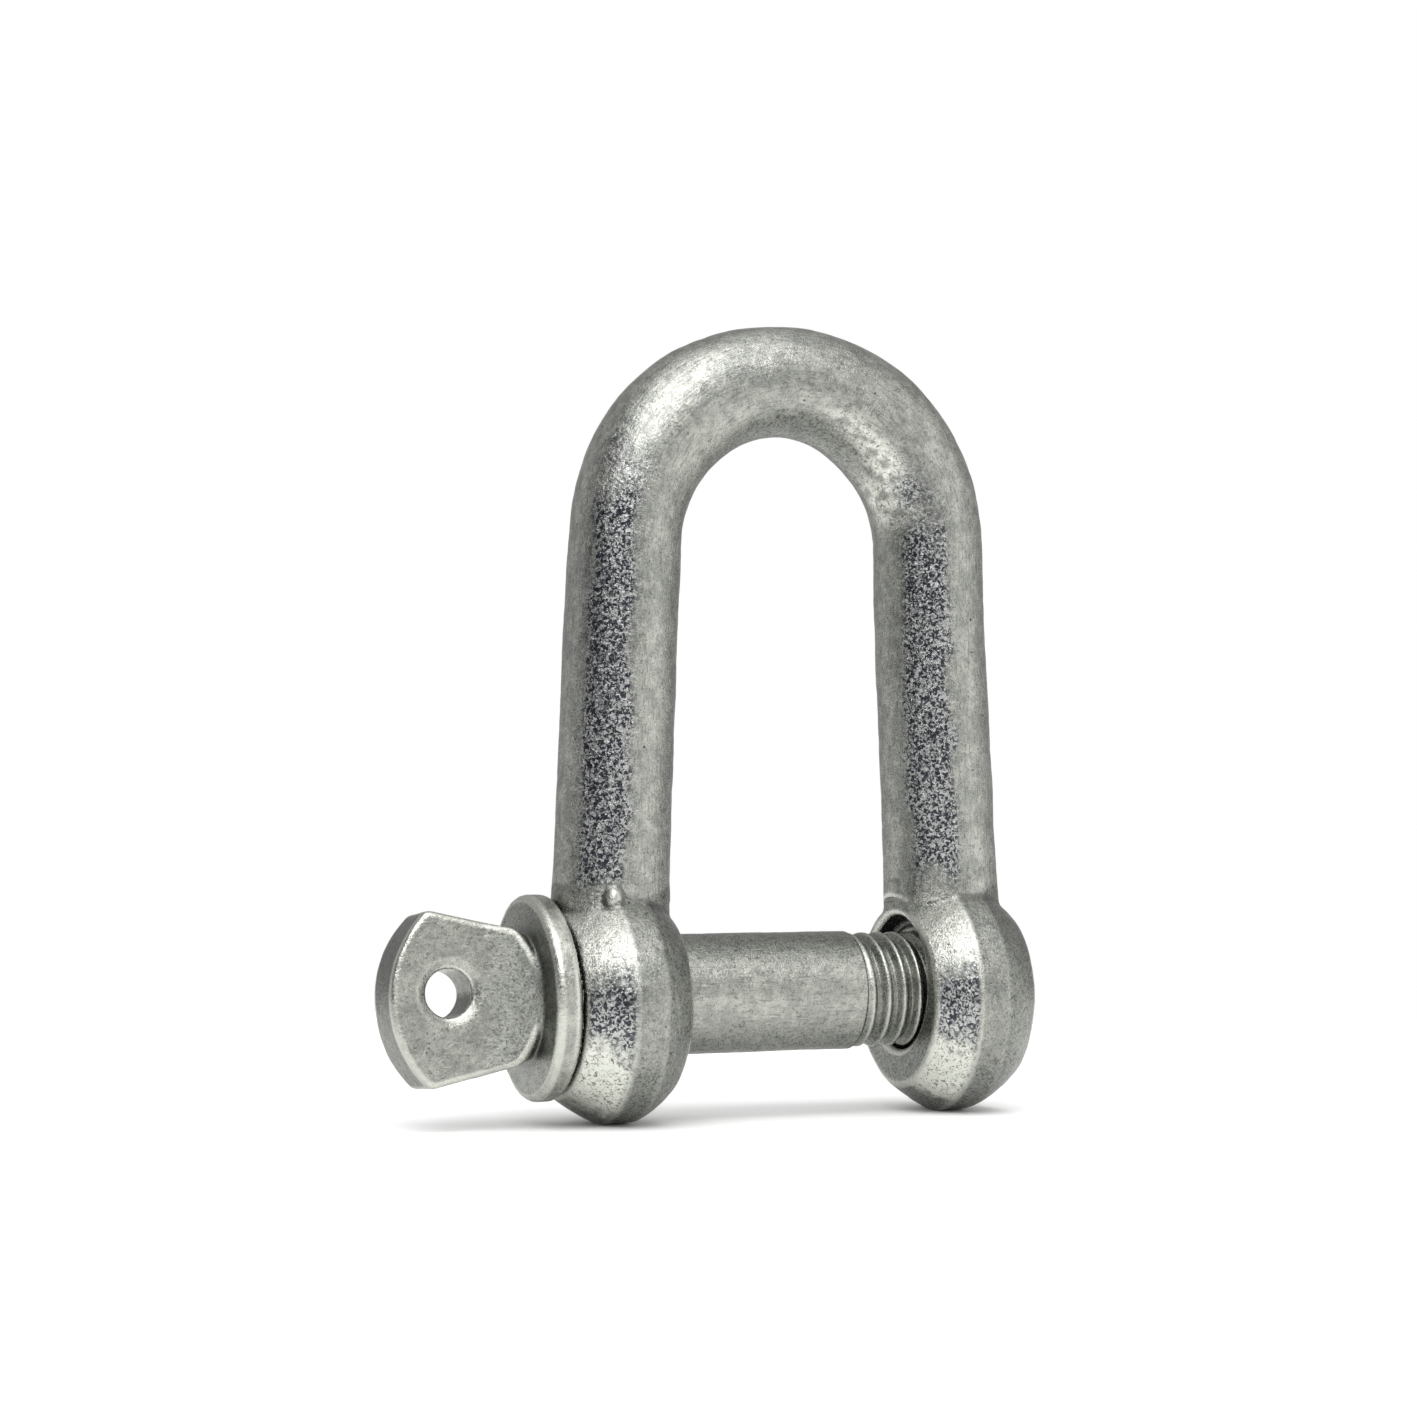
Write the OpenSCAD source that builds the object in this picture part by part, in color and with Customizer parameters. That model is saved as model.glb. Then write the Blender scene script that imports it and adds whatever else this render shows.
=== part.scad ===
// Galvanised dee shackle with a screw pin that has an eye head and a collar.
// Origin: on the pin's axis, midway between the two eyes.
// +X runs along the pin from its head to its threaded end, +Z points up to the crown.

/* [Body] */
// Diameter of the round bar at the eyes
bar_d = 10; // [8:0.2:12]
// Diameter of the bar round the crown, where the bending has drawn it thinner
crown_bar_d = 9.6; // [8:0.2:12]
// Clear width of the jaw between the two eyes
jaw_w = 22.2; // [18:0.2:30]
// Height from the pin's axis to the inside of the crown
inside_h = 48.3; // [36:0.1:60]
// Distance between the bar's centre lines at the crown
crown_w = 28.8; // [24:0.2:36]
// How far each leg leans out on its way down, in degrees
leg_lean = 2.4; // [0:0.1:4]

/* [Eyes] */
// Outer diameter of each eye over its ridge
eye_d = 20.2; // [17:0.2:24]
// Thickness of each eye along the pin
eye_t = 9.8; // [8:0.2:14]
// Diameter of the flat on each side of an eye
eye_flat_d = 15.4; // [14:0.2:17]
// Distance from an eye's inner side to its ridge
ridge_at = 4.6; // [3:0.1:6]
// How far the rounded flanks bulge past straight cones
flank_bulge = 0.35; // [0:0.05:0.6]
// How far the eyes' centres lie below the pin's axis
eye_drop = 0.7; // [0:0.1:1.2]
// Diameter of the plain hole in the head-side eye
plain_hole_d = 10.8; // [10.6:0.1:11.2]
// Diameter of the rough recess at the threaded hole's mouth
mouth_d = 12; // [11.4:0.1:13]
// Depth of that recess
mouth_depth = 1.6; // [0.8:0.1:2]
// How far the recess sits above the thread's axis
mouth_rise = 0.6; // [0:0.1:0.8]

/* [Pin] */
// Diameter over the thread's crests
pin_d = 10; // [9.6:0.1:10]
// Diameter of the plain shank with its zinc
shank_d = 10.3; // [10:0.1:10.4]
// Lead of the single-start right-hand thread
pitch = 1.5; // [1:0.25:2]
// Length of thread that shows in the jaw
thread_in_jaw = 5; // [2:0.5:8]
// Radial clearance between the two threads
thread_play = 0.12; // [0.12:0.02:0.2]
// Gap left between the collar and the eye when the pin is home
collar_gap = 0.4; // [0.3:0.1:1]
// Outer diameter of the collar
collar_d = 17.4; // [14:0.2:20]
// Thickness of the collar, whose rim is fully rounded
collar_t = 2.2; // [1.6:0.1:3]

/* [Head] */
// Length of the head from the collar to its outer end
head_l = 12.4; // [10:0.1:16]
// Width of the head over its two outer corners
head_w = 14.8; // [13:0.2:18]
// Width of the head at its neck
neck_w = 10.6; // [10:0.2:12]
// Thickness of the flat part of the head
head_t = 5.2; // [4:0.1:6]
// Radius of the head's curved outer end
end_r = 10; // [8:0.5:16]
// Length of the ramp from the flat part up to the neck
ramp_l = 2.5; // [2:0.1:4]
// Diameter of the hole through the head
head_hole_d = 4; // [3:0.1:5]
// Distance from the collar to that hole's axis
head_hole_at = 7.3; // [6:0.1:8]
// How far the hole lies above the pin's axis
head_hole_rise = 0.5; // [0:0.1:0.8]
// Width of the dish round each mouth of that hole
dish_w = 0.8; // [0.2:0.1:1]
// Angle by which the head is turned about the pin when the pin is home
head_roll = -5; // [-20:1:20]

/* [Hidden] */
$fn = 96;

GALVANISED = "#9aa09a";
GALVANISED_PIN = "#a3a8a2";

in_x = jaw_w / 2;
out_x = in_x + eye_t;
crown_r = crown_w / 2;
crown_z = inside_h + crown_bar_d / 2 - crown_r;
leg_l = (crown_z + crown_r * sin(leg_lean)) / cos(leg_lean);
leg_foot_up = 5;
flare_d = bar_d + 0.4;
flare_low = 6;
flare_high = 15;
// Where two lengths of the bar meet, one starts this far inside the other and is this much thinner.
lap = 0.6;
lap_step = 0.1;
collar_x = -out_x - collar_gap;
head_x = collar_x - collar_t;
thread_x = in_x - thread_in_jaw;
thread_l = out_x - thread_x;
tip_chamfer = 1;
mouth_foot_d = pin_d + 0.6;
neck_d = pin_d;
past = 1;

// Height of an ISO metric thread between its crest and root flats
thread_h = 0.6134 * pitch;
// One turn of thread seen along the pin: both edges of the crest, then both edges of the root, in pitches
CORNER_AT = [-1 / 16, 1 / 16, 3 / 8, 5 / 8];
CORNER_DEPTH = [0, 0, thread_h, thread_h];
CORNERS = len(CORNER_AT);
// Facets round the thread, and steps along each flank of an eye
COLS = 32;
FLANK_STEPS = 5;

// Turns the Z axis onto the X axis.
module along_x() {
    rotate([0, 90, 0]) children();
}

// Radius of an eye's flank, with s running from 0 at its flat to 1 at its ridge.
function flank_r(s) = let (f = eye_flat_d / 2, e = eye_d / 2) f + (e - f) * s + 4 * flank_bulge * s * (1 - s);

// The barrel of one eye with its inner side on the YZ plane, growing along +X.
module eye_barrel() {
    inner = [for (i = [0:FLANK_STEPS]) let (s = i / FLANK_STEPS) [flank_r(s), s * ridge_at]];
    outer = [for (i = [FLANK_STEPS - 1:-1:0]) let (s = i / FLANK_STEPS) [flank_r(s), eye_t - s * (eye_t - ridge_at)]];
    along_x() rotate_extrude() polygon(concat([[0, 0]], inner, outer, [[0, eye_t]]));
}

// One half of the body's outside, on the side that side gives: 1 for +X, -1 for -X.
module body_half(side) {
    mirror([side < 0 ? 1 : 0, 0, 0]) {
        translate([in_x, 0, -eye_drop]) eye_barrel();
        bar_down(leg_l - leg_foot_up, crown_bar_d, bar_d, crown_z + crown_r * sin(leg_lean));
        bar_down(flare_high - flare_low, bar_d, flare_d, flare_high);
    }
}

// A length of bar down the leaning leg from height top_z, tapering from d1 to d2.
module bar_down(h, d1, d2, top_z) {
    leg_x = crown_r / cos(leg_lean) + (crown_z - top_z) * tan(leg_lean);
    translate([leg_x, 0, top_z]) rotate([0, 180 - leg_lean, 0])
        translate([0, 0, -lap]) cylinder(h = h + lap, d1 = d1 - lap_step, d2 = d2);
}

// The bend that joins the two legs.
module crown() {
    translate([0, 0, crown_z]) rotate([90, 0, 0]) rotate([0, 0, leg_lean])
        rotate_extrude(angle = 180 - 2 * leg_lean) translate([crown_r, 0]) circle(d = crown_bar_d);
}

// A right-hand helical thread on the X axis that reaches past x0 and x1, grown outwards by grow.
// Its turns are in phase wherever it starts, so a male and a female thread made by it mesh.
module helix_rod(x0, x1, grow = 0) {
    first = floor(x0 / pitch) - 1;
    turns = ceil(x1 / pitch) + 1 - first;
    rows = CORNERS * turns;
    last_col = (COLS - 1) * rows;
    cap = COLS * rows;
    skin_points = [
        for (c = [0:COLS - 1], i = [0:rows - 1])
            let (m = i % CORNERS, turn = first + floor(i / CORNERS) + c / COLS)
            let (x = pitch * (turn + CORNER_AT[m]), r = pin_d / 2 + grow - CORNER_DEPTH[m])
            [x, r * cos(360 * c / COLS), r * sin(360 * c / COLS)]
    ];
    cap_points = [[pitch * first, 0, 0], [pitch * (first + turns + CORNER_AT[3]), 0, 0]];
    skin = [for (c = [0:COLS - 2], i = [0:rows - 2]) let (a = c * rows + i, b = a + rows) [a, a + 1, b + 1, b]];
    seam = [for (i = [0:rows - CORNERS - 2]) [last_col + i, last_col + i + 1, i + CORNERS + 1, i + CORNERS]];
    low_rim = concat([for (c = [0:COLS - 1]) c * rows], [for (i = [CORNERS:-1:1]) i]);
    high_rim = concat(
        [for (c = [COLS - 1:-1:0]) c * rows + rows - 1],
        [for (i = [CORNERS:-1:1]) last_col + rows - 1 - i]
    );
    polyhedron(
        concat(skin_points, cap_points),
        concat(skin, seam, fan(low_rim, cap), fan(high_rim, cap + 1)),
        convexity = 10
    );
}

// Triangles from a closed rim of points to one point.
function fan(rim, tip) = [for (i = [0:len(rim) - 1]) [tip, rim[i], rim[(i + 1) % len(rim)]]];

// Recess that opens the threaded hole's mouth, a little above the thread's axis.
module mouth() {
    flare = (mouth_d - mouth_foot_d) / mouth_depth * past;
    translate([in_x - past, 0, mouth_rise]) along_x()
        cylinder(h = mouth_depth + past, d1 = mouth_d + flare, d2 = mouth_foot_d);
}

// Cut that keeps the legs' feet flush with the eyes' flat inner sides.
module jaw_clearance() {
    translate([-in_x, 0, -eye_drop]) along_x() cylinder(h = jaw_w, d = eye_flat_d + 2);
}

module body() {
    color(GALVANISED) difference() {
        union() {
            crown();
            body_half(1);
            body_half(-1);
        }
        jaw_clearance();
        translate([-out_x - past, 0, 0]) along_x() cylinder(h = eye_t + 2 * past, d = plain_hole_d);
        helix_rod(in_x - past, out_x + past, thread_play);
        mouth();
    }
}

// Plain shank, from the collar to the start of the thread.
module pin_shank() {
    color(GALVANISED_PIN) translate([collar_x, 0, 0]) along_x() cylinder(h = thread_x - collar_x, d = shank_d);
}

// Threaded end, flush with the far eye and chamfered at its tip.
module pin_thread() {
    color(GALVANISED_PIN) intersection() {
        helix_rod(thread_x, out_x);
        translate([thread_x, 0, 0]) along_x() union() {
            cylinder(h = thread_l - tip_chamfer, d = pin_d + past);
            translate([0, 0, thread_l - tip_chamfer])
                cylinder(h = tip_chamfer, d1 = pin_d + past, d2 = pin_d + past - 2 * tip_chamfer - past);
        }
    }
}

// Thin disc with a fully rounded rim, its outer side on the YZ plane, growing along +X.
module collar() {
    disc_r = (collar_d - collar_t) / 2;
    along_x() union() {
        cylinder(h = collar_t, r = disc_r);
        translate([0, 0, collar_t / 2]) rotate_extrude() translate([disc_r, 0]) circle(d = collar_t, $fn = 48);
    }
}

// Fan-shaped outline of the head seen from the front, as thick as the neck.
module head_fan() {
    corner_x = end_r - head_l - sqrt(pow(end_r, 2) - pow(head_w / 2, 2));
    side = [[0, neck_w / 2], [corner_x, head_w / 2], [-head_l - past, head_w / 2]];
    rotate([90, 0, 0]) intersection() {
        linear_extrude(height = neck_d, center = true)
            polygon(concat(side, [for (i = [len(side) - 1:-1:0]) [side[i][0], -side[i][1]]]));
        translate([end_r - head_l, 0, -neck_d]) cylinder(h = 2 * neck_d, r = end_r);
    }
}

// Thickness of the head seen from above: flat, then ramped up to the neck.
module head_profile() {
    half = [[past, neck_d / 2], [-ramp_l / 4, neck_d / 2], [-ramp_l * 5 / 4, head_t / 2], [-head_l - past, head_t / 2]];
    linear_extrude(height = 2 * head_w, center = true)
        polygon(concat(half, [for (i = [len(half) - 1:-1:0]) [half[i][0], -half[i][1]]]));
}

// Round outline that draws the fan in to the neck.
module head_waist() {
    widest = head_w;
    translate([-head_l - past, 0, 0]) along_x() rotate_extrude() polygon([
        [0, 0], [widest, 0], [widest, head_l + past - widest + neck_d / 2], [neck_d / 2, head_l + past],
        [0, head_l + past]
    ]);
}

// Hole through the flat of the head, with a dished mouth on each side.
module head_hole() {
    translate([-head_hole_at, 0, head_hole_rise]) rotate([90, 0, 0]) {
        cylinder(h = 2 * head_t, d = head_hole_d, center = true);
        for (side = [0, 1]) mirror([0, 0, side])
            translate([0, 0, head_t / 2 - dish_w / 2])
                cylinder(h = dish_w, d1 = head_hole_d, d2 = head_hole_d + 4 * dish_w);
    }
}

module pin_head() {
    color(GALVANISED_PIN) union() {
        translate([head_x, 0, 0]) collar();
        translate([head_x, 0, 0]) rotate([head_roll, 0, 0]) difference() {
            intersection() {
                head_fan();
                head_profile();
                head_waist();
            }
            head_hole();
        }
    }
}

body();
pin_shank();
pin_head();
pin_thread();
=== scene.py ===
import math

import bpy
import numpy as np
from mathutils import Matrix, Vector


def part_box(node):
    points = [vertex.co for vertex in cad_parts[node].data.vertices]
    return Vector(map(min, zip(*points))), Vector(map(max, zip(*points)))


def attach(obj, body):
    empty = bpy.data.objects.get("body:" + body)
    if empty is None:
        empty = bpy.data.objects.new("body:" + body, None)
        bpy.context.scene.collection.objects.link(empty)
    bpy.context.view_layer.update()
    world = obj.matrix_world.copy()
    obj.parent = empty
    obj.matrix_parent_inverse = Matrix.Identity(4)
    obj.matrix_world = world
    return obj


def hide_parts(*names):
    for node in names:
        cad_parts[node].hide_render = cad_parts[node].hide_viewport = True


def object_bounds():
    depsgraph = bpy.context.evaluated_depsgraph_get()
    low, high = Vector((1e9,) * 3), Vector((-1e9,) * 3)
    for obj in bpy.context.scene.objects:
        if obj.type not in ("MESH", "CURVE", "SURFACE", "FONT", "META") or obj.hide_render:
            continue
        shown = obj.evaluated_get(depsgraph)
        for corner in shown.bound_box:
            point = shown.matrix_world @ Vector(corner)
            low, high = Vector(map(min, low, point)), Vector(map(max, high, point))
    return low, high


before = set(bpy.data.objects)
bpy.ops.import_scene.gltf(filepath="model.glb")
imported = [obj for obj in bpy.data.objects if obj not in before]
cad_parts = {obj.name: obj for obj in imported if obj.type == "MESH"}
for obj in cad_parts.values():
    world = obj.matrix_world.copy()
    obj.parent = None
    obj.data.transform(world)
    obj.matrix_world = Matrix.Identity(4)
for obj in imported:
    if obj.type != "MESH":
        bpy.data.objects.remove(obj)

# Looks of a galvanised dee shackle. Shapes are worked out in millimetres in the row frame, as signed
# distances: +X runs along the pin and +Z up to the crown. The two eyes differ in their holes, and each bulges
# a little more on its +X flank. Each forged piece is the zero surface of its distance, with its edges and
# corners rounded as forging leaves them.

MM = 0.001
CAD_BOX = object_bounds()


def box_mm(node):
    low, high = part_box(node)
    return np.array(low) / MM, np.array(high) / MM


BODY_LOW, BODY_HIGH = box_mm("body")
SHANK_LOW, SHANK_HIGH = box_mm("pin_shank")
HEAD_LOW, HEAD_HIGH = box_mm("pin_head")
THREAD_LOW, THREAD_HIGH = box_mm("pin_thread")

# Body
OUT_X = BODY_HIGH[0]
EYE_T = 9.8
IN_X = OUT_X - EYE_T
EYE_R = BODY_HIGH[1]
EYE_FLAT_R = 7.7
EYE_RIDGE_AT = 4.6
EYE_RIDGE_W = 1.9
BULGE_TO_HEAD = 0.15
BULGE_TO_TIP = 0.35
EYE_DROP = -BODY_LOW[2] - EYE_R
EYE_EDGE = 0.35
RIDGE_CUT = 0.12
RIDGE_EDGE = 0.12
BAR_R = 5.0
CROWN_BAR_R = 4.8
FLARE = 0.2
FLARE_LOW = 6.0
FLARE_HIGH = 15.0
CROWN_TOP = BODY_HIGH[2]
CROWN_R = 14.4
CROWN_Z = CROWN_TOP - CROWN_BAR_R - CROWN_R
LEAN = math.radians(2.4)
LEG_L = (CROWN_Z + CROWN_R * math.sin(LEAN)) / math.cos(LEAN)
FOOT_UP = 5.0
SHOULDER = 0.25
SHOULDER_AT = math.radians(40)
SHOULDER_SPAN = math.radians(28)
CROWN_SHIFT = 0.25
CROWN_SHIFT_SPAN = 12.0
FILLET = 0.35
JAW_EDGE = 0.2
JAW_PAST = 1.0
HOLE_R = 5.4
HOLE_EDGE = 0.35
MOUTH_R = 6.0
MOUTH_FOOT_R = 5.3
MOUTH_DEPTH = 1.6
MOUTH_RISE = 0.6
MOUTH_EDGE = 0.3
DRIP = (-17.2, -4.7, 8.3)
DRIP_R = 0.75
DRIP_SQUASH = 0.5
DRIP_FILLET = 0.25

# Pin
SHANK_R = SHANK_HIGH[1]
PIN_R = THREAD_HIGH[1]
PITCH = 1.5
THREAD_H = 0.43 * PITCH
THREAD_PLAY = 0.12
THREAD_CREST = 1 / 16
THREAD_FLANK = 5 / 16
THREAD_X = THREAD_LOW[0]
TIP_X = THREAD_HIGH[0]
TIP_CHAMFER = 1.0
COLLAR_X = SHANK_LOW[0]
COLLAR_R = HEAD_HIGH[1]
COLLAR_T = 2.2
COLLAR_EDGE = 0.65
COLLAR_LEAN = math.radians(1.5)
HEAD_X = COLLAR_X - COLLAR_T
HEAD_L = HEAD_X - HEAD_LOW[0]
HEAD_W = 14.8
HEAD_T = 5.2
HEAD_END_R = 10.0
HEAD_ROLL = math.radians(-5)
HEAD_EDGE = 0.5
HEAD_FILLET = 0.6
NECK_W = 10.6
RAMP_L = 4.4
RAMP_CURVE = 1.7
HEAD_HOLE_R = 2.0
HEAD_HOLE_AT = 7.3
HEAD_HOLE_RISE = 0.5
HEAD_DISH = 0.8
DISH_EDGE = 0.15
HEAD_HOLE_EDGE = 0.2

# How much slower each of these distances grows than the radius or width that it is made from
THREAD_SLOPE = 0.45
FACE_SLOPE = 0.8
DISH_SLOPE = 0.45

# Painted dark reflection down the front of the legs: the direction that its band faces, and half its width,
# in degrees
BAND_AZIMUTH = -31
BAND_WIDTH = 23

# The body's zones. In each pair a zone is empty at the first value and full at the second: heights and
# lengths in millimetres, tilts in degrees, and the rest a share of the surface's normal along one axis.
LEG_STARTS = (8.5, 10.5)
BAND_STARTS = (-7, -1)
FACING_HEAD = (0.2, 0.32)
FACING_TIP = (0.15, 0.35)
FACING_DOWN = (0.35, 0.8)
OFF_SIDE_FACE = (0.96, 0.9)
ON_SIDE_FACE = (0.93, 0.98)
LEVEL = (27, 9)
# Painted highlights on the eyes: the upper and lower patches, and where they end
UPPER_PATCH = (12, 26)
LOWER_PATCH = (-16, -26)
PATCHES_END = (82, 58)
# How strong the upper painted highlight is, and the most painted shade that an open face gets
UPPER_HIGHLIGHT = 0.45
MOST_OPEN_SHADE = 0.7

# Wear: lumps and dents, in millimetres from one to the next
LUMP_LENGTH = 7
DENT_LENGTH = 1.6

NET_STEP = 0.25
HEAD_NET_STEP = NET_STEP * 0.8
MARGIN = 1.0


# Signed distances

def step_up(value, low, high):
    """0 below low, 1 above high, and smooth in between. It runs downwards where high is the smaller."""
    t = np.clip((value - low) / (high - low), 0, 1)
    return t * t * (3 - 2 * t)


def blend_in(a, b, size):
    """Union of two distances with a fillet of about that size."""
    h = np.clip(0.5 + 0.5 * (b - a) / size, 0, 1)
    return b + (a - b) * h - size * h * (1 - h)


def cut_by(a, b, size):
    """The part of a that is inside b too, with its new edges rounded."""
    return -blend_in(-a, -b, size)


def bar(x, y, z):
    """The bent round bar, how far down it from where the bend ends each point is, and how far across it."""
    x = x - CROWN_SHIFT * np.clip((z - CROWN_Z + CROWN_SHIFT_SPAN / 2) / CROWN_SHIFT_SPAN, 0, 1)
    side = np.abs(x)
    from_x = side - CROWN_R * math.cos(LEAN)
    from_z = z - CROWN_Z - CROWN_R * math.sin(LEAN)
    along = from_x * math.sin(LEAN) - from_z * math.cos(LEAN)
    across_leg = from_x * math.cos(LEAN) + from_z * math.sin(LEAN)
    across_bend = np.hypot(side, z - CROWN_Z) - CROWN_R
    bend = (along < 0) & (z > CROWN_Z - CROWN_R)
    across = np.where(bend, across_bend, across_leg)
    turned = np.arctan2(z - CROWN_Z, side) - LEAN
    length = np.where(bend, -CROWN_R * turned, along)
    taper = np.clip(along / LEG_L, 0, 1)
    near_foot = np.clip((along - (LEG_L - FLARE_HIGH)) / (FLARE_HIGH - FLARE_LOW), 0, 1)
    shoulder = SHOULDER * np.exp(-(((turned - SHOULDER_AT) / SHOULDER_SPAN) ** 2))
    radius = CROWN_BAR_R + (BAR_R - CROWN_BAR_R) * np.sqrt(taper) + FLARE * near_foot**2
    flat = radius / (radius + shoulder)
    distance = np.maximum(np.hypot(across * flat, y) - radius, along - (LEG_L - FOOT_UP))
    return distance, length, across


def eye(x, y, z):
    """A double-cone barrel a little below the pin's axis, with rounded edges and a narrow band round it."""
    u = np.abs(x) - IN_X
    r = np.hypot(y, z + EYE_DROP)
    half_band = EYE_RIDGE_W / 2
    rise = EYE_R + RIDGE_CUT - EYE_FLAT_R
    s_in = u / (EYE_RIDGE_AT - half_band)
    s_out = (EYE_T - u) / (EYE_T - EYE_RIDGE_AT - half_band)
    bulge_in = np.where(x < 0, BULGE_TO_TIP, BULGE_TO_HEAD)
    bulge_out = np.where(x < 0, BULGE_TO_HEAD, BULGE_TO_TIP)
    inner = EYE_FLAT_R + rise * s_in + 4 * bulge_in * s_in * np.clip(1 - s_in, 0, 1)
    outer = EYE_FLAT_R + rise * s_out + 4 * bulge_out * s_out * np.clip(1 - s_out, 0, 1)
    slope_in = math.cos(math.atan(rise / EYE_RIDGE_AT))
    slope_out = math.cos(math.atan(rise / (EYE_T - EYE_RIDGE_AT)))
    flanks = cut_by((r - inner) * slope_in, (r - outer) * slope_out, RIDGE_EDGE)
    barrel = cut_by(flanks, r - EYE_R, RIDGE_EDGE)
    return cut_by(barrel, np.abs(u - EYE_T / 2) - EYE_T / 2, EYE_EDGE)


def thread_depth(x, y, z):
    """How deep a thread's groove is at each point's place on the helix, from 0 on a crest to 1 at a root."""
    turn = x / PITCH - np.arctan2(z, y) / (2 * math.pi)
    from_crest = np.abs(turn - np.round(turn))
    ramp = np.clip((from_crest - THREAD_CREST) / THREAD_FLANK, 0, 1)
    return 0.5 * ramp + 0.5 * ramp * ramp * (3 - 2 * ramp)


def holes(x, y, z):
    """The plain hole in the head-side eye, and the threaded one with its rough mouth."""
    r = np.hypot(y, z)
    plain = np.maximum(r - HOLE_R, x)
    thread = r - PIN_R - THREAD_PLAY + THREAD_H * thread_depth(x, y, z)
    threaded = np.maximum(THREAD_SLOPE * thread, -x)
    into = (x - IN_X) / MOUTH_DEPTH
    cone = MOUTH_R + (MOUTH_FOOT_R - MOUTH_R) * np.clip(into, -1, 1)
    mouth = np.maximum(np.hypot(y, z - MOUTH_RISE) - cone, np.abs(x - IN_X) - MOUTH_DEPTH)
    return plain, threaded, mouth


def forged_body(x, y, z):
    solid = blend_in(bar(x, y, z)[0], eye(x, y, z), FILLET)
    drip = np.sqrt((x - DRIP[0]) ** 2 + (y - DRIP[1]) ** 2 + DRIP_SQUASH * (z - DRIP[2]) ** 2) - DRIP_R
    solid = blend_in(solid, drip, DRIP_FILLET)
    jaw = np.maximum(np.abs(x) - IN_X, np.hypot(y, z + EYE_DROP) - EYE_FLAT_R - JAW_PAST)
    solid = cut_by(solid, -jaw, JAW_EDGE)
    plain, threaded, mouth = holes(x, y, z)
    solid = cut_by(solid, -plain, HOLE_EDGE)
    solid = np.maximum(solid, -threaded)
    return cut_by(solid, -mouth, MOUTH_EDGE)


def collar(x, y, z):
    middle = HEAD_X + COLLAR_T / 2
    from_middle = (x - middle) * math.cos(COLLAR_LEAN) + z * math.sin(COLLAR_LEAN)
    out = np.hypot(y, z) - (COLLAR_R - COLLAR_EDGE)
    side = np.abs(from_middle) - (COLLAR_T / 2 - COLLAR_EDGE)
    within = np.minimum(np.maximum(out, side), 0)
    return np.hypot(np.maximum(out, 0), np.maximum(side, 0)) + within - COLLAR_EDGE


def paddle(x, y, z):
    """The flat head, turned about the pin, with its ramps, its curved end and its drilled hole."""
    u = HEAD_X - x
    v = y * math.cos(HEAD_ROLL) + z * math.sin(HEAD_ROLL)
    w = z * math.cos(HEAD_ROLL) - y * math.sin(HEAD_ROLL)
    corner_u = HEAD_L - HEAD_END_R + math.sqrt(HEAD_END_R**2 - (HEAD_W / 2) ** 2)
    side_slope = (HEAD_W - NECK_W) / 2 / corner_u
    side = (np.abs(w) - NECK_W / 2 - side_slope * u) * math.cos(math.atan(side_slope))
    end = np.hypot(u - HEAD_L + HEAD_END_R, w) - HEAD_END_R
    still_up = 1 - np.clip(u / RAMP_L, 0, 1)
    face = (np.abs(v) - HEAD_T / 2 - (PIN_R - HEAD_T / 2) * still_up**RAMP_CURVE) * FACE_SLOPE
    waist = (np.hypot(v, w) - PIN_R - u) * math.sqrt(0.5)
    outline = cut_by(side, end, HEAD_EDGE)
    solid = cut_by(outline, face, HEAD_EDGE)
    solid = cut_by(solid, waist, HEAD_EDGE)
    solid = np.maximum(solid, -u - COLLAR_T / 2)
    from_hole = np.hypot(u - HEAD_HOLE_AT, w - HEAD_HOLE_RISE)
    dish = from_hole - HEAD_HOLE_R - 2 * (np.abs(v) - HEAD_T / 2 + HEAD_DISH / 2)
    solid = cut_by(solid, -DISH_SLOPE * dish, DISH_EDGE)
    return cut_by(solid, HEAD_HOLE_R - from_hole, HEAD_HOLE_EDGE)


def forged_head(x, y, z):
    return blend_in(collar(x, y, z), paddle(x, y, z), HEAD_FILLET)


# Meshes

def surface_net(field, low, high, step):
    """The zero surface of field in quads, one point in each grid cell that it passes through."""
    low = np.array(low) - MARGIN
    counts = np.ceil((np.array(high) + MARGIN - low) / step).astype(int) + 1
    ticks = [low[i] + step * np.arange(counts[i]) for i in range(3)]
    value = field(*np.meshgrid(*ticks, indexing="ij"))
    inside = value < 0
    quads, cells, points = [], [], []
    for axis in range(3):
        unit, u_unit, w_unit = (np.roll([1, 0, 0], axis + i) for i in range(3))
        keep_low = tuple(slice(None, -1) if i == axis else slice(None) for i in range(3))
        keep_high = tuple(slice(1, None) if i == axis else slice(None) for i in range(3))
        at = np.argwhere(inside[keep_low] != inside[keep_high])
        start, end = value[tuple(at.T)], value[tuple((at + unit).T)]
        crossing = at + (start / (start - end))[:, None] * unit
        around = [at, at - u_unit, at - u_unit - w_unit, at - w_unit]
        ids = np.stack([np.ravel_multi_index(tuple(c.T), counts) for c in around], 1)
        backward = start > 0
        quads.append(np.where(backward[:, None], ids[:, ::-1], ids))
        cells.append(ids.ravel())
        points.append(np.repeat(crossing, 4, axis=0))
    names, owner = np.unique(np.concatenate(cells), return_inverse=True)
    places = np.concatenate(points)
    share = np.bincount(owner)
    corners = np.stack([np.bincount(owner, places[:, i]) / share for i in range(3)], 1)
    faces = np.searchsorted(names, np.concatenate(quads))
    return low + corners * step, faces.tolist()


def slope_of(field, points, reach=0.02):
    """Direction in which field grows fastest, and how fast."""
    rows = []
    for axis in range(3):
        offset = np.zeros(3)
        offset[axis] = reach
        rows.append(field(*(points + offset).T) - field(*(points - offset).T))
    slope = np.stack(rows, 1) / (2 * reach)
    size = np.linalg.norm(slope, axis=1) + 1e-9
    return slope / size[:, None], size


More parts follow.
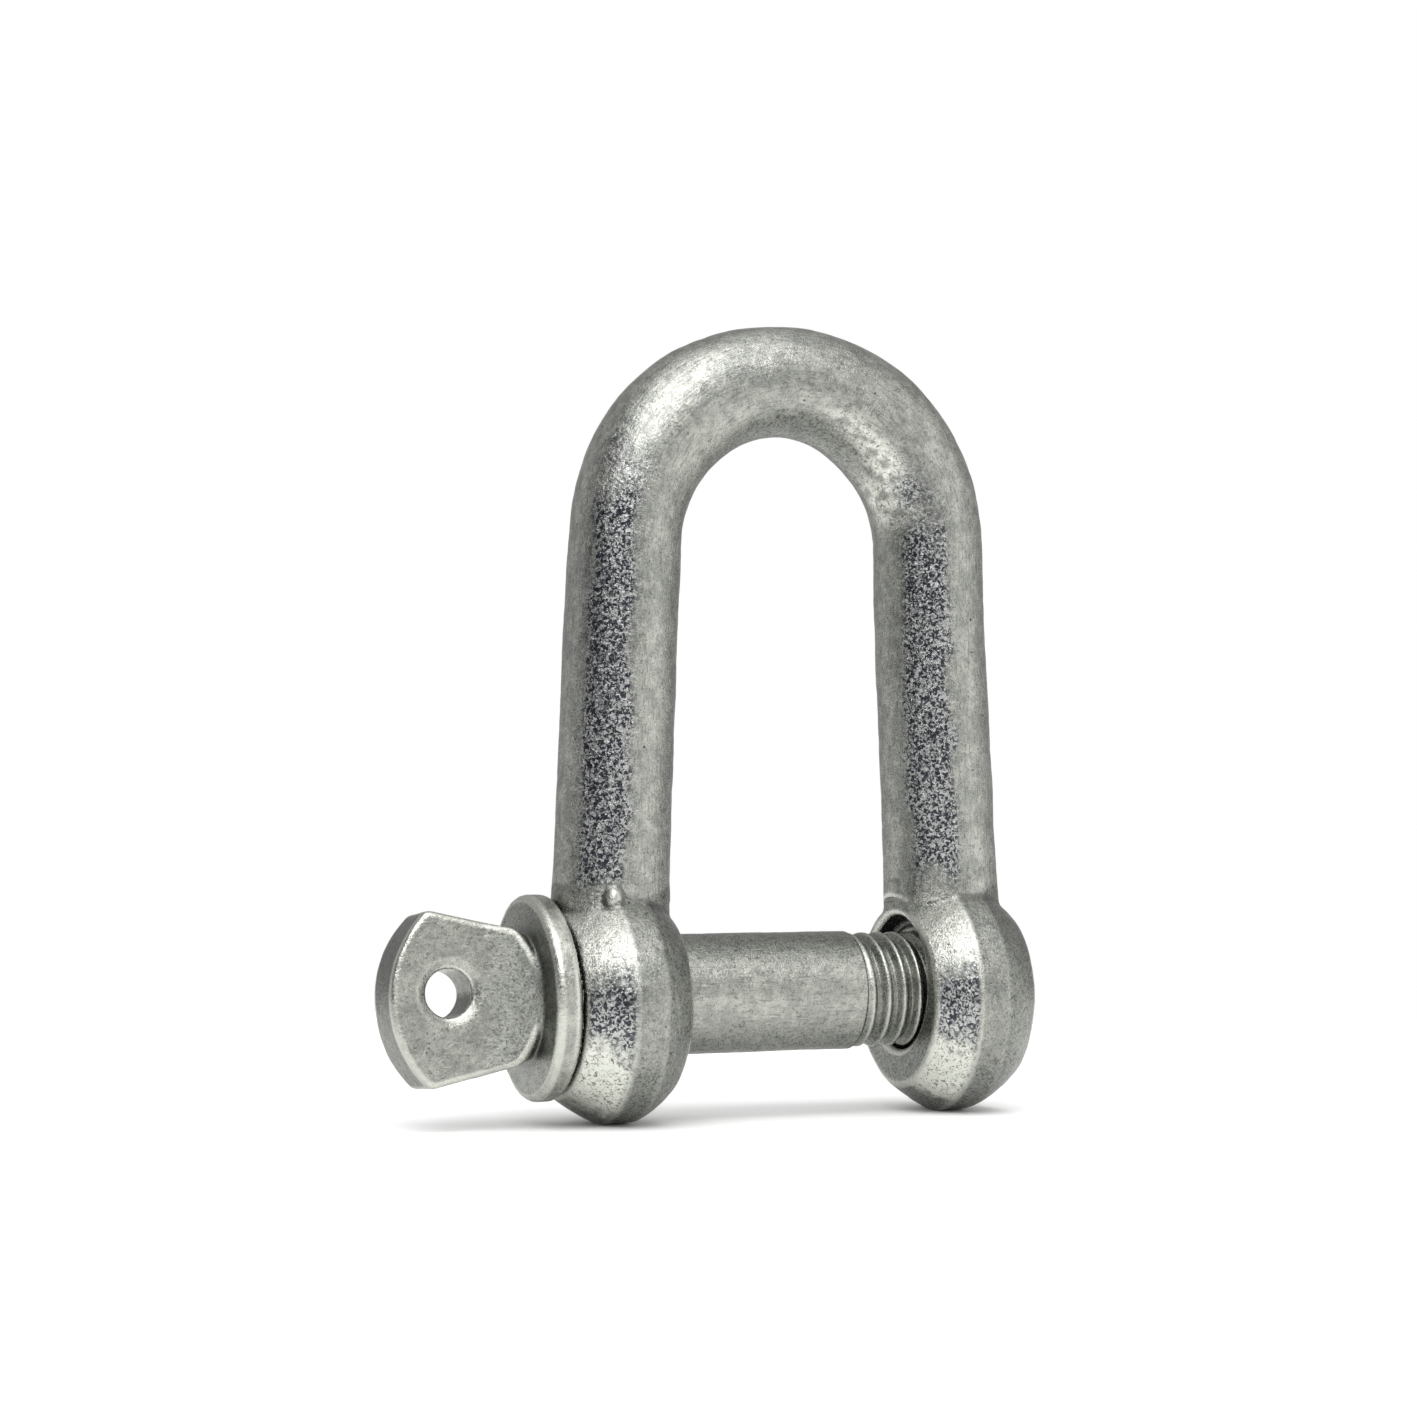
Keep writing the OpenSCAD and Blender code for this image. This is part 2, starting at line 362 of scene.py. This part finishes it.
def settle(field, points, rounds=3, most=0.1, gentlest=0.3):
    """Moves the points onto the zero surface. gentlest is the least slope that a step is divided by."""
    for _ in range(rounds):
        way, size = slope_of(field, points)
        shift = np.clip(field(*points.T) / np.maximum(size, gentlest), -most, most)
        points = points - way * shift[:, None]
    return points


def sharpness(field, points, reach=0.45):
    """How the surface bends: above 0 on outer edges, below 0 in corners and grooves."""
    total = -6 * field(*points.T)
    for axis in range(3):
        for way in (-reach, reach):
            offset = np.zeros(3)
            offset[axis] = way
            total = total + field(*(points + offset).T)
    return np.clip(total / reach**2, -2, 2)


def ripple(points, wavelength, seed, waves=20):
    """Smooth random waves from about 0 to 1, the same on each run."""
    rng = np.random.default_rng(seed)
    total = np.zeros(len(points))
    for _ in range(waves):
        way = rng.normal(size=3)
        way *= 2 * math.pi / wavelength * rng.uniform(0.6, 1.6) / np.linalg.norm(way)
        total += np.sin(points @ way + rng.uniform(0, 2 * math.pi))
    return np.clip(0.5 + 0.25 * total / math.sqrt(waves / 2), 0, 1)


def worn(points, normals, seed, lumps, dents):
    """Moves the points a little, by broad lumps and small dents, so that a surface isn't machine smooth."""
    broad = 2 * ripple(points, LUMP_LENGTH, seed) - 1
    height = lumps * broad - dents * ripple(points, DENT_LENGTH, seed + 1) ** 2
    return points + normals * height[:, None]


def body_zones(points, normals, length, across):
    """Where a dark reflection is painted, where highlights are painted, and how dark the painted shade is."""
    x, y, z = points.T
    ragged = ripple(points, 5, 15) - 0.5
    fringe = ripple(points, 1.2, 16) - 0.5
    # A painted dark reflection: a band down the front of the legs and a weaker one down their back
    facing = np.degrees(np.arctan2(normals[:, 0], -normals[:, 1])) - BAND_AZIMUTH
    facing = (facing + 180) % 360 - 180 + 4 * fringe
    front = step_up(np.abs(facing + 10 * ragged), BAND_WIDTH + 5, BAND_WIDTH - 4)
    back = 0.6 * step_up(np.abs(np.abs(facing) - 180 + 20 * ragged), BAND_WIDTH * 0.8, BAND_WIDTH * 0.5)
    above_eye = step_up(z + 3 * ragged, *LEG_STARTS)
    on_leg = step_up(length + 6 * ragged + 2 * fringe, *BAND_STARTS) * above_eye

    from_eye = np.hypot(y, z + EYE_DROP)
    from_pin = np.hypot(y, z)
    on_eye = step_up(from_eye, EYE_R + 0.6, EYE_R + 0.1) * (1 - above_eye)
    to_head = step_up(-normals[:, 0], *FACING_HEAD) * step_up(-normals[:, 0], *OFF_SIDE_FACE)
    tilt = np.degrees(np.arctan2(z + EYE_DROP, np.abs(y))) + 10 * ragged + 12 * fringe
    # The level middle of the eye flanks that face the head gets the same painted dark reflection
    level = step_up(np.abs(tilt + 4), *LEVEL)
    dark_reflection = (front + back) * on_leg + level * to_head * on_eye
    # Painted highlights above and below that middle
    patches = UPPER_HIGHLIGHT * step_up(tilt, *UPPER_PATCH) + step_up(tilt, *LOWER_PATCH)
    painted_highlight = to_head * on_eye * patches * step_up(np.abs(tilt), *PATCHES_END)

    # Painted shade: on the eyes' flat side faces and flanks facing the tip, on faces turned down, in the
    # bores and the threaded mouth, and behind the collar; the band round each eye is made darker as well
    side_face = step_up(np.abs(normals[:, 0]), *ON_SIDE_FACE) * on_eye
    to_tip = step_up(normals[:, 0], *FACING_TIP) * on_eye
    under = step_up(-normals[:, 2], *FACING_DOWN) * (1 - painted_highlight)
    inside = step_up(from_pin, HOLE_R + 0.15, HOLE_R - 0.1) * step_up(np.abs(x), IN_X - 0.1, IN_X + 0.3)
    in_mouth = (np.hypot(y, z - MOUTH_RISE) < MOUTH_R + 0.1) * step_up(x, IN_X + 0.1, IN_X + 0.5)
    on_ridge = step_up(from_eye, EYE_R - 0.4, EYE_R - 0.1) * on_eye
    painted_shade = 0.75 * side_face + 0.5 * to_tip + 0.7 * under + 0.35 * on_ridge
    behind_collar = step_up(x, 0.5 - OUT_X, 0.2 - OUT_X) * step_up(from_pin, COLLAR_R, COLLAR_R - 0.6)
    hidden = np.maximum(np.maximum(inside, behind_collar), in_mouth * (x < IN_X + MOUTH_DEPTH + 0.2))
    painted_shade = np.maximum(np.clip(painted_shade, 0, MOST_OPEN_SHADE), hidden)
    # A painted highlight on the inside of the crown's bend
    inner_bend = step_up(x, 1, 5) * step_up(across, -1.5, -3) * step_up(length, -1, -4)
    inner_bend = inner_bend * step_up(normals[:, 1], 0.1, -0.2)
    painted_highlight = painted_highlight + inner_bend * step_up(fringe, -0.3, 0.1)
    return np.clip(dark_reflection, 0, 1), np.clip(painted_highlight, 0, 1), painted_shade


def new_piece(name, points, faces, attributes, body, nodes, material):
    """A smooth mesh from points in millimetres, riding on a body and standing for CAD nodes."""
    mesh = bpy.data.meshes.new(name)
    points = np.clip(points, *box_mm(nodes[0]))
    mesh.from_pydata((points * MM).tolist(), [], faces)
    mesh.polygons.foreach_set("use_smooth", [True] * len(mesh.polygons))
    for key, values in attributes.items():
        kind = "FLOAT" if values.ndim == 1 else "FLOAT_VECTOR"
        layer = mesh.attributes.new(key, kind, "POINT")
        field = "value" if values.ndim == 1 else "vector"
        layer.data.foreach_set(field, values.astype(np.float32).ravel())
    mesh.materials.append(material)
    mesh.update()
    piece = bpy.data.objects.new(name, mesh)
    bpy.context.scene.collection.objects.link(piece)
    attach(piece, body)
    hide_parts(*nodes)
    return piece


def make_body(material):
    points, faces = surface_net(forged_body, BODY_LOW, BODY_HIGH, NET_STEP)
    points = settle(forged_body, points)
    normals, _ = slope_of(forged_body, points)
    _, length, across = bar(*points.T)
    from_top = (length + CROWN_R * (math.pi / 2 - LEAN)) * np.sign(points[:, 0])
    dark_reflection, painted_highlight, painted_shade = body_zones(points, normals, length, across)
    attributes = {
        "edge": sharpness(forged_body, points),
        "grain": np.stack([from_top, across, points[:, 1]], 1),
        "scored": np.full(len(points), 0.55),
        "dark_reflection": dark_reflection,
        "painted_highlight": painted_highlight,
        "painted_shade": painted_shade,
    }
    points = worn(points, normals, seed=11, lumps=0.05, dents=0.03)
    return new_piece(
        "shackle_forging", points, faces, attributes, "shackle_body", ["body"], material
    )


def make_head(material):
    points, faces = surface_net(forged_head, HEAD_LOW, HEAD_HIGH, HEAD_NET_STEP)
    points = settle(forged_head, points)
    normals, _ = slope_of(forged_head, points)
    out = HEAD_X - points[:, 0]
    ragged = ripple(points, 3, 25) - 0.5
    # Painted shade on the collar's face and behind the collar, a painted dark reflection on the rim of the
    # head's end, and darker ramps
    on_ramp = step_up(out + ragged, RAMP_L, RAMP_L - 1) * step_up(out, -0.2, 0.3)
    rim = step_up(-normals[:, 0], 0.25, 0.55) * step_up(out, RAMP_L, RAMP_L + 1)
    collar_face = step_up(-normals[:, 0], 0.9, 0.97) * step_up(out, 0.4, 0.1)
    behind = step_up(normals[:, 0], 0.3, 0.7) * step_up(out, -COLLAR_T / 2, -COLLAR_T / 2 - 0.3)
    attributes = {
        "edge": sharpness(forged_head, points),
        "grain": points,
        "scored": 0.15 + 2.0 * on_ramp,
        "painted_shade": 0.45 * collar_face + 0.87 * rim + 0.4 * on_ramp + behind,
    }
    points = worn(points, normals, seed=21, lumps=0.05, dents=0.03)
    return new_piece(
        "pin_eye_head", points, faces, attributes, "screw_pin", ["pin_head"], material
    )


def lathe(name, stations, radius_at, body, nodes, material, seed, columns=128):
    """A closed round bar along X, whose radius is radius_at(x, y, z) at each station, with flat ends."""
    turn = np.linspace(0, 2 * math.pi, columns, endpoint=False)
    x, angle = np.meshgrid(stations, turn, indexing="ij")
    radius = radius_at(x, np.cos(angle), np.sin(angle))
    points = np.stack([x, radius * np.cos(angle), radius * np.sin(angle)], -1).reshape(-1, 3)
    normals = np.stack([0 * x, np.cos(angle), np.sin(angle)], -1).reshape(-1, 3)
    points = worn(points, normals, seed, lumps=0.03, dents=0.02)
    rows = len(stations)
    faces = []
    for i in range(rows - 1):
        for j in range(columns):
            k = (j + 1) % columns
            faces.append([i * columns + j, i * columns + k, (i + 1) * columns + k, (i + 1) * columns + j])
    ends = np.array([[stations[0], 0, 0], [stations[-1], 0, 0]])
    for j in range(columns):
        k = (j + 1) % columns
        faces.append([rows * columns, k, j])
        faces.append([rows * columns + 1, (rows - 1) * columns + j, (rows - 1) * columns + k])
    points = np.concatenate([points, ends])
    edge = np.zeros(len(points))
    edge[: rows * columns] = (1.7 * (radius - radius.mean(0)) / THREAD_H).ravel()
    # Painted shade on the pin's top and underside; the thread is made darker
    off_level = step_up(np.abs(points[:, 2]) / PIN_R, 0.2, 0.8)
    attributes = {
        "edge": edge,
        "grain": points,
        "scored": np.full(len(points), 0.6),
        "painted_shade": 0.5 * off_level + 0.3 * (points[:, 0] > THREAD_X),
    }
    return new_piece(name, points, faces, attributes, body, nodes, material)


def make_shank(material):
    stations = np.linspace(COLLAR_X, THREAD_X, 160)

    def radius_at(x, y, z):
        return SHANK_R + 0 * x

    return lathe("pin_plain_shank", stations, radius_at, "pin_core", ["pin_shank"], material, seed=31)


def make_thread(material):
    stations = np.linspace(THREAD_X, TIP_X, 180)

    def radius_at(x, y, z):
        run_in = np.clip((x - THREAD_X) / (0.5 * PITCH), 0, 1)
        cut = PIN_R - THREAD_H * thread_depth(x, y, z) * run_in
        return np.minimum(cut, PIN_R - TIP_CHAMFER + (TIP_X - x))

    return lathe("pin_male_thread", stations, radius_at, "screw_pin", ["pin_thread"], material, seed=41)


# Materials

PIT_DARK = (0.03, 0.03, 0.035, 1.0)
# Painted shade: near black in the bores, the mouth and behind the collar, and a grey on open faces
HIDDEN_DARK = (0.02, 0.02, 0.02, 1.0)
SHADE_DARK = (0.10, 0.104, 0.10, 1.0)
SHADE_LIGHT = (0.30, 0.31, 0.285, 1.0)
# The painted dark reflection, flecked lighter by the zinc's grain
DARK_REFLECTION_TONE = (0.06, 0.062, 0.078, 1.0)
DARK_REFLECTION_FLECK = (0.60, 0.61, 0.60, 1.0)
SHADOW_SHARE = 0.45
# How much brighter than the light colour the painted highlights are
HIGHLIGHT_GAIN = 1.6
EDGE_GAIN = 1.45


def galvanised(name, light, dark, rough, bump, stretch):
    """Hot-dip zinc: mottled patches, a fine crazed grain, draw lines and pits, with painted shade in corners
    and hollows, painted highlights and a painted dark reflection.
    """
    material = bpy.data.materials.new(name)
    material.use_nodes = True
    tree = material.node_tree
    nodes, links = tree.nodes, tree.links
    shader = nodes["Principled BSDF"]
    shader.inputs["Metallic"].default_value = 1.0

    def node(kind, **values):
        made = nodes.new(kind)
        for key, value in values.items():
            if key in made.inputs:
                made.inputs[key].default_value = value
            else:
                setattr(made, key, value)
        return made

    def noise(vector, scale, detail=2.0, roughness=0.5, distortion=0.0):
        made = node(
            "ShaderNodeTexNoise", Scale=scale, Detail=detail, Roughness=roughness, Distortion=distortion
        )
        links.new(vector, made.inputs["Vector"])
        return made.outputs["Fac"]

    def spread(value, low, high, to_low=0.0, to_high=1.0):
        made = node("ShaderNodeMapRange", interpolation_type="SMOOTHSTEP")
        links.new(value, made.inputs["Value"])
        for key, number in zip(("From Min", "From Max", "To Min", "To Max"), (low, high, to_low, to_high)):
            made.inputs[key].default_value = number
        return made.outputs["Result"]

    def maths(operation, a, b):
        made = node("ShaderNodeMath", operation=operation)
        for socket, value in zip(made.inputs, (a, b)):
            if isinstance(value, (int, float)):
                socket.default_value = value
            else:
                links.new(value, socket)
        return made.outputs[0]

    def mixed(factor, a, b):
        made = node("ShaderNodeMix", data_type="RGBA")
        links.new(factor, made.inputs["Factor"])
        for socket, value in zip((made.inputs["A"], made.inputs["B"]), (a, b)):
            if isinstance(value, tuple):
                socket.default_value = value
            else:
                links.new(value, socket)
        return made.outputs["Result"]

    def fac_of(attribute):
        return node("ShaderNodeAttribute", attribute_name=attribute).outputs["Fac"]

    place = node("ShaderNodeTexCoord")
    to_mm = node("ShaderNodeVectorMath", operation="SCALE")
    to_mm.inputs["Scale"].default_value = 1 / MM
    links.new(place.outputs["Object"], to_mm.inputs[0])
    where = to_mm.outputs[0]
    edge = fac_of("edge")
    grain_mm = node("ShaderNodeAttribute", attribute_name="grain").outputs["Vector"]
    drawn = node("ShaderNodeVectorMath", operation="MULTIPLY")
    links.new(grain_mm, drawn.inputs[0])
    drawn.inputs[1].default_value = stretch

    patches = noise(where, 0.28, 4, 0.6)
    blotches = noise(where, 0.9, 5, 0.65)
    crazed = noise(where, 3.0, 3, 0.7, 1.5)
    lines = noise(drawn.outputs[0], 5.0, 4, 0.7, 0.3)
    dark_reflection = fac_of("dark_reflection")
    painted_highlight = fac_of("painted_highlight")
    painted_shade = fac_of("painted_shade")
    scored = fac_of("scored")
    pit_cells = node("ShaderNodeTexVoronoi", Scale=0.8)
    pit_size = spread(noise(where, 0.3, 1), 0.5, 0.62, 0.35, 0.0)
    wobble = maths("MULTIPLY", noise(where, 3.5, 2), 0.25)
    links.new(where, pit_cells.inputs["Vector"])
    from_pit = maths("ADD", pit_cells.outputs["Distance"], maths("ADD", pit_size, wobble))
    pits = spread(from_pit, 0.16, 0.24, 1, 0)

    tone = maths("ADD", maths("MULTIPLY", patches, 0.35), maths("MULTIPLY", blotches, 0.65))
    colour = mixed(spread(tone, 0.4, 0.6), dark, light)
    # A darker colour for the grain, scratches and specks, and for the painted shade in corners, grooves and
    # thread roots
    grain_and_shade = tuple(SHADOW_SHARE * c for c in dark[:3]) + (1.0,)
    scratches = spread(lines, 0.48, 0.36, 0.0, 0.9)
    colour = mixed(maths("MULTIPLY", scratches, scored), colour, grain_and_shade)
    colour = mixed(spread(crazed, 0.46, 0.33, 0.0, 0.75), colour, grain_and_shade)
    # Painted highlights: the light colour made brighter, broken by the grain
    highlight_colour = tuple(min(1.0, HIGHLIGHT_GAIN * c) for c in light[:3]) + (1.0,)
    colour = mixed(maths("MULTIPLY", painted_highlight, spread(crazed, 0.36, 0.46, 0.2, 1.0)), colour, highlight_colour)
    specks = noise(where, 3.2, 2, 0.6, 1.0)
    colour = mixed(spread(specks, 0.4, 0.32, 0.0, 0.55), colour, grain_and_shade)
    colour = mixed(maths("MULTIPLY", painted_highlight, spread(specks, 0.44, 0.36, 0.0, 0.8)), colour, grain_and_shade)
    # Painted dark reflection, flecked by the grain
    speckled = mixed(spread(specks, 0.46, 0.55), DARK_REFLECTION_TONE, DARK_REFLECTION_FLECK)
    colour = mixed(dark_reflection, colour, speckled)
    # Painted shade
    grey = mixed(spread(crazed, 0.4, 0.55), SHADE_DARK, SHADE_LIGHT)
    colour = mixed(spread(painted_shade, 0.0, 0.75, 0.0, 0.85), colour, grey)
    colour = mixed(spread(painted_shade, 0.8, 1.0), colour, HIDDEN_DARK)
    # Painted shade in corners, grooves and thread roots
    colour = mixed(spread(edge, -0.25, -1.2, 0.0, 0.85), colour, grain_and_shade)
    bright = tuple(min(1.0, EDGE_GAIN * c) for c in light[:3]) + (1.0,)
    colour = mixed(spread(edge, 0.35, 1.2, 0.0, 0.6), colour, bright)
    colour = mixed(maths("MULTIPLY", pits, 0.85), colour, PIT_DARK)
    links.new(colour, shader.inputs["Base Color"])

    roughness = maths("ADD", rough - 0.12, maths("MULTIPLY", crazed, 0.24))
    roughness = maths("SUBTRACT", roughness, maths("MULTIPLY", painted_highlight, 0.04))
    links.new(roughness, shader.inputs["Roughness"])

    height = maths("ADD", maths("MULTIPLY", crazed, 1.0), maths("MULTIPLY", blotches, 0.7))
    height = maths("ADD", height, maths("MULTIPLY", lines, maths("MULTIPLY", scored, 1.2)))
    height = maths("SUBTRACT", height, maths("MULTIPLY", pits, 1.2))
    relief = node("ShaderNodeBump", Strength=1.0, Distance=bump * MM)
    links.new(height, relief.inputs["Height"])
    links.new(relief.outputs["Normal"], shader.inputs["Normal"])
    return material


def matt(name, colour, reflected):
    """A matt colour, and the greyer one that it has in the metal's reflections."""
    material = bpy.data.materials.new(name)
    material.use_nodes = True
    nodes, links = material.node_tree.nodes, material.node_tree.links
    shader = nodes["Principled BSDF"]
    shader.inputs["Roughness"].default_value = 0.9
    shader.inputs["Specular IOR Level"].default_value = 0.1
    path = nodes.new("ShaderNodeLightPath")
    choice = nodes.new("ShaderNodeMix")
    choice.data_type = "RGBA"
    choice.inputs["A"].default_value = colour
    choice.inputs["B"].default_value = reflected
    links.new(path.outputs["Is Glossy Ray"], choice.inputs["Factor"])
    links.new(choice.outputs["Result"], shader.inputs["Base Color"])
    return material


# Studio. Distances and sizes are in metres, and angles in degrees.

CENTRE = (CAD_BOX[0] + CAD_BOX[1]) / 2
CAMERA_AIM = (-0.0066, 0.0, 0.0245)
CAMERA_AZIMUTH = -22.72
CAMERA_ELEVATION = -1.98
CAMERA_DISTANCE = 0.275
CAMERA_ROLL = -0.204
CAMERA_LENS_MM = 81.01
WHITE = (1.0, 1.0, 1.0)
SURROUND = (1.0, 1.0, 1.0, 1.0)
ROOM = (0.40, 0.40, 0.395, 1.0)
DARK_SIDE = (0.10, 0.10, 0.105, 1.0)
DARK_SIDE_FROM = 66
DARK_SIDE_FULL = 34
FLOOR = (0.93, 0.93, 0.93, 1.0)
FLOOR_REFLECTED = (0.72, 0.72, 0.71, 1.0)


def direction(azimuth, elevation):
    """Unit vector towards a place round the object: azimuth 0 is the front, 90 is +X."""
    a, e = math.radians(azimuth), math.radians(elevation)
    return Vector((math.sin(a) * math.cos(e), -math.cos(a) * math.cos(e), math.sin(e)))


def make_camera():
    data = bpy.data.cameras.new("camera")
    camera = bpy.data.objects.new("camera", data)
    bpy.context.scene.collection.objects.link(camera)
    aim = Vector(CAMERA_AIM)
    back = direction(CAMERA_AZIMUTH, CAMERA_ELEVATION)
    camera.location = aim + back * CAMERA_DISTANCE
    turn = (-back).to_track_quat("-Z", "Y").to_matrix().to_4x4()
    roll = Matrix.Rotation(math.radians(CAMERA_ROLL), 4, "Z")
    camera.matrix_world = Matrix.Translation(camera.location) @ turn @ roll
    data.sensor_width = 36.0
    data.lens = CAMERA_LENS_MM
    data.clip_start = 0.01
    bpy.context.scene.camera = camera


def softbox(name, azimuth, elevation, distance, width, height, radiance, colour):
    data = bpy.data.lights.new(name, "AREA")
    data.shape = "RECTANGLE"
    data.size = width
    data.size_y = height
    data.energy = radiance * math.pi * width * height
    data.color = colour
    light = bpy.data.objects.new(name, data)
    bpy.context.scene.collection.objects.link(light)
    way = direction(azimuth, elevation)
    light.location = CENTRE + way * distance
    light.rotation_mode = "QUATERNION"
    light.rotation_quaternion = (-way).to_track_quat("-Z", "Y")
    light.visible_camera = False


def make_world(seen, room, dark_side, dark_way):
    """A pale surround to look at, and a dimmer room that metal reflects, darkest round one direction."""
    world = bpy.data.worlds.new("studio")
    bpy.context.scene.world = world
    world.use_nodes = True
    nodes, links = world.node_tree.nodes, world.node_tree.links
    dim = nodes["Background"]
    place = nodes.new("ShaderNodeTexCoord")
    near = nodes.new("ShaderNodeVectorMath")
    near.operation = "DOT_PRODUCT"
    near.inputs[1].default_value = dark_way
    fade = nodes.new("ShaderNodeMapRange")
    fade.interpolation_type = "SMOOTHSTEP"
    fade.inputs["From Min"].default_value = math.cos(math.radians(DARK_SIDE_FROM))
    fade.inputs["From Max"].default_value = math.cos(math.radians(DARK_SIDE_FULL))
    shade = nodes.new("ShaderNodeMix")
    shade.data_type = "RGBA"
    shade.inputs["A"].default_value = room
    shade.inputs["B"].default_value = dark_side
    links.new(place.outputs["Generated"], near.inputs[0])
    links.new(near.outputs["Value"], fade.inputs["Value"])
    links.new(fade.outputs["Result"], shade.inputs["Factor"])
    links.new(shade.outputs["Result"], dim.inputs["Color"])
    pale = nodes.new("ShaderNodeBackground")
    pale.inputs["Color"].default_value = seen
    path = nodes.new("ShaderNodeLightPath")
    mix = nodes.new("ShaderNodeMixShader")
    links.new(path.outputs["Is Glossy Ray"], mix.inputs["Fac"])
    links.new(pale.outputs[0], mix.inputs[1])
    links.new(dim.outputs[0], mix.inputs[2])
    links.new(mix.outputs[0], nodes["World Output"].inputs["Surface"])


def make_floor(radius=0.16, sides=96):
    """A pale disc that the eyes stand on. Past it there is only the pale surround."""
    ring = [direction(360 * i / sides, 0) * radius for i in range(sides)]
    mesh = bpy.data.meshes.new("floor")
    mesh.from_pydata([(CENTRE.x + p.x, p.y, CAD_BOX[0].z) for p in ring], [], [list(range(sides))])
    mesh.materials.append(matt("pale_floor", FLOOR, FLOOR_REFLECTED))
    floor = bpy.data.objects.new("floor", mesh)
    bpy.context.scene.collection.objects.link(floor)


BODY_ZINC = galvanised(
    "body_zinc",
    light=(0.55, 0.56, 0.515, 1.0),
    dark=(0.37, 0.378, 0.355, 1.0),
    rough=0.27,
    bump=0.05,
    stretch=(0.12, 1.0, 1.0),
)
PIN_ZINC = galvanised(
    "pin_zinc",
    light=(0.57, 0.58, 0.53, 1.0),
    dark=(0.40, 0.408, 0.38, 1.0),
    rough=0.28,
    bump=0.04,
    stretch=(0.12, 1.0, 1.0),
)

make_body(BODY_ZINC)
make_shank(PIN_ZINC)
make_head(PIN_ZINC)
make_thread(PIN_ZINC)

make_camera()
make_floor()
make_world(SURROUND, ROOM, DARK_SIDE, dark_way=direction(-78, 4))
softbox("key", -24, 47, distance=0.6, width=0.5, height=0.44, radiance=3.0, colour=WHITE)
softbox("left", -125, 8, distance=0.6, width=0.4, height=0.7, radiance=0.3, colour=WHITE)
softbox("right", 55, 10, distance=0.6, width=0.6, height=0.7, radiance=0.75, colour=(1.0, 1.0, 0.98))
softbox("top", 0, 78, distance=0.7, width=0.8, height=0.8, radiance=0.85, colour=WHITE)
bpy.context.scene.view_settings.view_transform = "Standard"
